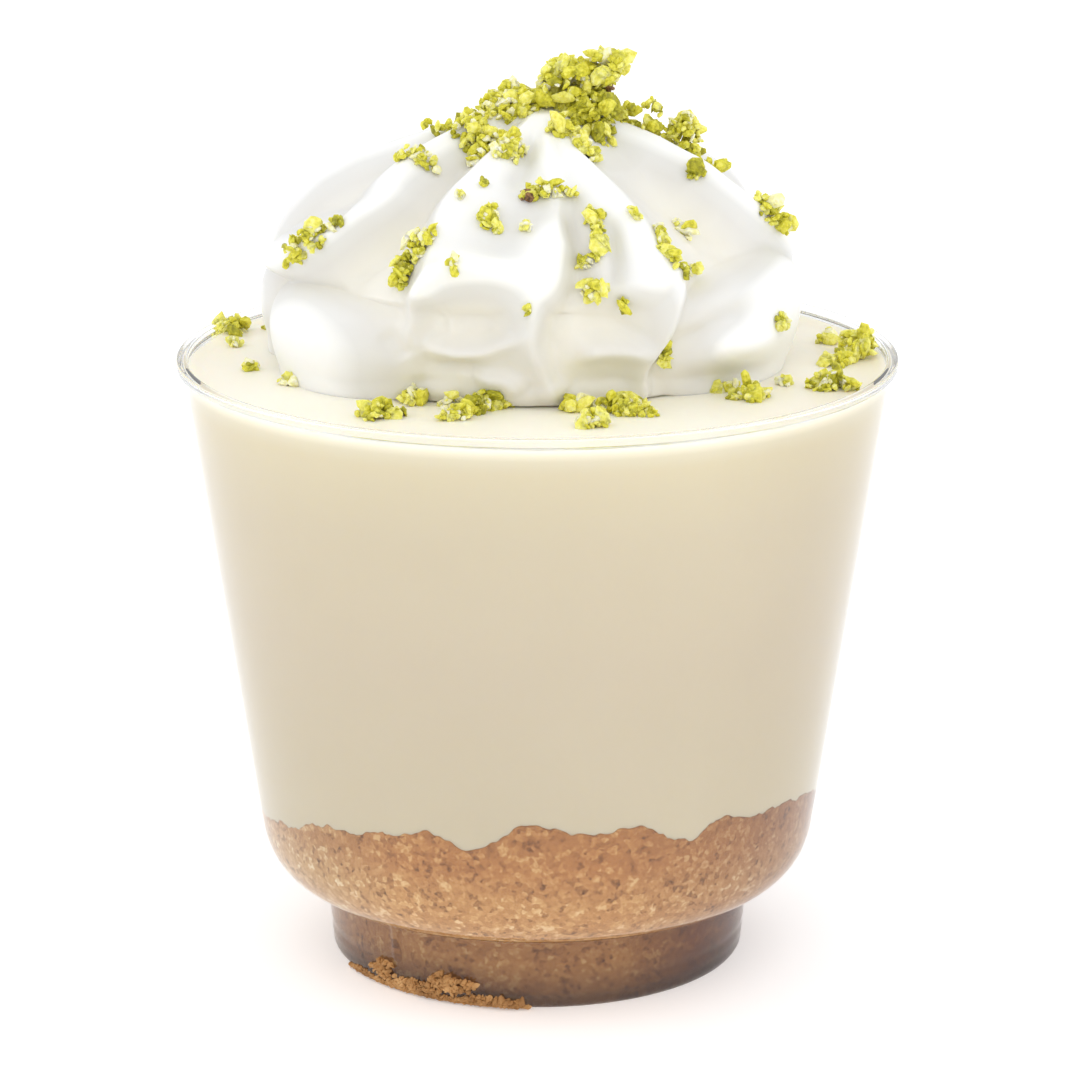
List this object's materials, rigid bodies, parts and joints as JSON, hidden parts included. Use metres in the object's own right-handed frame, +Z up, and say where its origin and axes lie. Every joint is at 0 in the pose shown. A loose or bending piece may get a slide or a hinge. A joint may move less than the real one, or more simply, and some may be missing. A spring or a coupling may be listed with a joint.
{
  "type": "lemon mousse cup",
  "caption": "Pale lemon mousse over a crumb base in a clear tapered plastic cup with a foot, topped with a piped whipped cream swirl and chopped green nuts.",
  "frame": {"origin": "centre of the underside of the foot", "axes": "+Z up the cup's axis, front as pictured faces -Y, +X to the right"},
  "size_m": [0.076, 0.076, 0.097],
  "materials": {
    "clear_plastic": "clear glossy plastic",
    "crumbs": "rough pressed biscuit crumbs",
    "lemon_mousse": "smooth, soft and slightly moist",
    "whipped_cream": "smooth satin whipped cream",
    "chopped_nuts": "matte chopped green nuts"
  },
  "bodies": {
    "root": {"cup": "clear_plastic", "crumb_base": "crumbs", "mousse": "lemon_mousse", "cream_swirl": "whipped_cream"}
  },
  "joints": []
}
